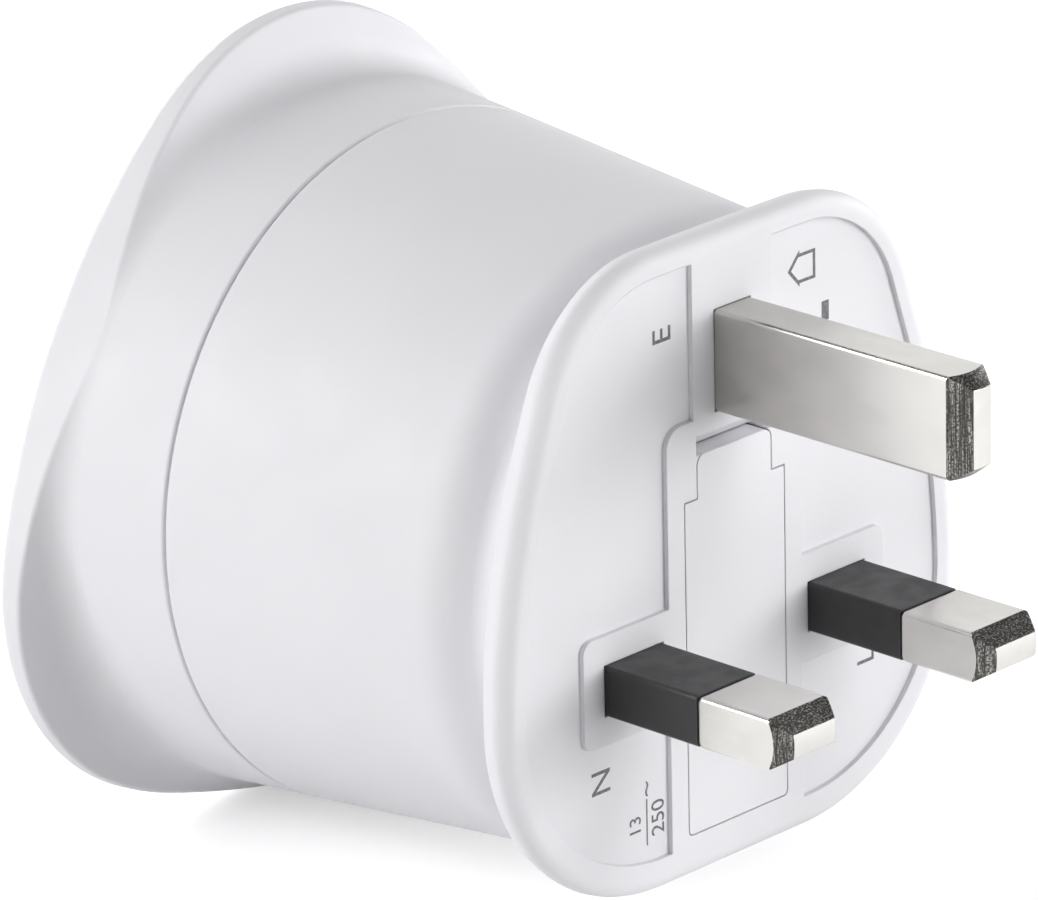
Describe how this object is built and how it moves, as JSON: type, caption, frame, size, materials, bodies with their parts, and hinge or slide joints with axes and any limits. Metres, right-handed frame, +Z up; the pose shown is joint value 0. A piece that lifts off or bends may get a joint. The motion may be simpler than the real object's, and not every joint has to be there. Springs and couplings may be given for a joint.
{
  "type": "travel adapter",
  "caption": "White travel adapter: fused plug with rectangular pins in front, earthed round-pin socket behind, tapered barrel with a lobed grip rim.",
  "frame": {"origin": "on the axis of the barrel, in the plane of the plug face", "axes": "+Y from the plug face into the body, towards the socket; +Z up towards the earth pin; +X to the right when facing the pins"},
  "size_m": [0.0626, 0.0703, 0.0613],
  "materials": {
    "white_housing": "satin moulded white plastic",
    "pin_nickel": "nickel-plated brass with fine drawing lines and ground tips",
    "sleeve_black": "black moulded plastic, slightly satin",
    "contact_brass": "stamped and bent bare brass strip",
    "fuse_ceramic": "unglazed ceramic tube",
    "fuse_cap_metal": "plated end caps",
    "inner_plastic": "plain moulded off-white plastic",
    "spring_steel": "drawn spring wire"
  },
  "bodies": {
    "body": {"front_housing": "white_housing", "rear_housing": "white_housing", "earth_pin": "pin_nickel", "line_pin": "pin_nickel", "neutral_pin": "pin_nickel", "line_sleeve": "sleeve_black", "neutral_sleeve": "sleeve_black", "line_link": "contact_brass", "neutral_link": "contact_brass", "line_contact": "contact_brass", "neutral_contact": "contact_brass", "earth_link": "contact_brass", "earth_strap": "contact_brass", "fuse_clip_upper": "contact_brass", "fuse_clip_lower": "contact_brass", "contact_disc": "inner_plastic", "shutter_spring": "spring_steel"},
    "fuse_drawer": {"fuse_carrier": "white_housing", "fuse_tube": "fuse_ceramic", "fuse_cap_upper": "fuse_cap_metal", "fuse_cap_lower": "fuse_cap_metal"},
    "shutter": {"shutter": "inner_plastic"}
  },
  "joints": [
    {"name": "fuse_lift", "type": "slide", "parent": "body", "child": "fuse_drawer", "axis": [0, -1, 0], "range_m": [0, 0.012]},
    {"name": "shutter_slide", "type": "slide", "parent": "body", "child": "shutter", "axis": [0, 0, 1], "range_m": [0, 0.0058], "stiffness_N_per_m": 60, "springref_m": -0.002, "deforming": ["shutter_spring"]}
  ]
}
